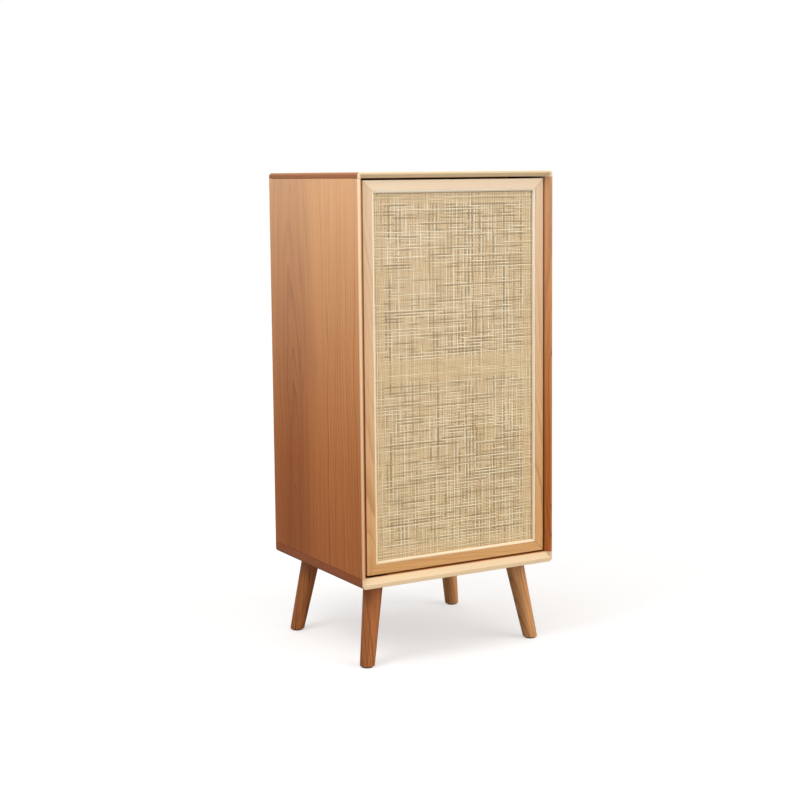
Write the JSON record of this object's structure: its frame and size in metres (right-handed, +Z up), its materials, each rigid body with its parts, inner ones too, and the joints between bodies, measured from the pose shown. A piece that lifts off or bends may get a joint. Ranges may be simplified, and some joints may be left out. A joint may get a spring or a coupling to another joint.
{
  "type": "shoe cabinet",
  "caption": "Narrow upright shoe cabinet on splayed tapered legs, with one full-height framed rattan door, flared front rim and adjustable shelves.",
  "frame": {"origin": "on the floor, under the middle of the case", "axes": "+Z up, -Y the way the door faces, +X to the right of someone facing the door"},
  "size_m": [0.46, 0.4, 1],
  "materials": {
    "case_wood": "satin lacquer, honey ash",
    "door_wood": "satin lacquer, honey ash",
    "leg_wood": "satin lacquer, darker brown",
    "rattan_weave": "plain woven split cane, uncoated",
    "shelf_pin": "nickel plated",
    "bolt_steel": "zinc plated",
    "hinge_steel": "satin zinc plated",
    "latch_plastic": "matt off-white",
    "plunger_plastic": "matt black",
    "glide_plastic": "matt black"
  },
  "bodies": {
    "case": {"top_panel": "case_wood", "bottom_panel": "case_wood", "side_panel_left": "case_wood", "side_panel_right": "case_wood", "back_panel": "case_wood", "shelf_1": "case_wood", "shelf_2": "case_wood", "shelf_3": "case_wood", "shelf_4": "case_wood", "pin_shelf_1_left_front": "shelf_pin", "pin_shelf_1_left_rear": "shelf_pin", "pin_shelf_1_right_front": "shelf_pin", "pin_shelf_1_right_rear": "shelf_pin", "pin_shelf_2_left_front": "shelf_pin", "pin_shelf_2_left_rear": "shelf_pin", "pin_shelf_2_right_front": "shelf_pin", "pin_shelf_2_right_rear": "shelf_pin", "pin_shelf_3_left_front": "shelf_pin", "pin_shelf_3_left_rear": "shelf_pin", "pin_shelf_3_right_front": "shelf_pin", "pin_shelf_3_right_rear": "shelf_pin", "pin_shelf_4_left_front": "shelf_pin", "pin_shelf_4_left_rear": "shelf_pin", "pin_shelf_4_right_front": "shelf_pin", "pin_shelf_4_right_rear": "shelf_pin", "leg_front_left": "leg_wood", "leg_front_right": "leg_wood", "leg_rear_left": "leg_wood", "leg_rear_right": "leg_wood", "leg_bolt_front_left": "bolt_steel", "leg_bolt_front_right": "bolt_steel", "leg_bolt_rear_left": "bolt_steel", "leg_bolt_rear_right": "bolt_steel", "glide_front_left": "glide_plastic", "glide_front_right": "glide_plastic", "glide_rear_left": "glide_plastic", "glide_rear_right": "glide_plastic", "hinge_case_leaf_top": "hinge_steel", "hinge_case_leaf_bottom": "hinge_steel", "latch_body": "latch_plastic"},
    "door": {"door_hinge_stile": "door_wood", "door_latch_stile": "door_wood", "door_top_rail": "door_wood", "door_bottom_rail": "door_wood", "door_mid_rail": "door_wood", "door_rattan_panel": "rattan_weave", "door_bead_left": "door_wood", "door_bead_right": "door_wood", "door_bead_top": "door_wood", "door_bead_bottom": "door_wood", "hinge_door_leaf_top": "hinge_steel", "hinge_door_leaf_bottom": "hinge_steel", "strike_plate": "hinge_steel"},
    "latch_plunger": {"latch_plunger": "plunger_plastic"}
  },
  "joints": [
    {"name": "door_hinge", "type": "hinge", "parent": "case", "child": "door", "pos_m": [-0.206, -0.184, 0.5905], "axis": [0, 0, -1], "range_deg": [0, 110]},
    {"name": "latch_press", "type": "slide", "parent": "case", "child": "latch_plunger", "axis": [0, 1, 0], "range_m": [0, 0.003], "stiffness_N_per_m": 300}
  ]
}
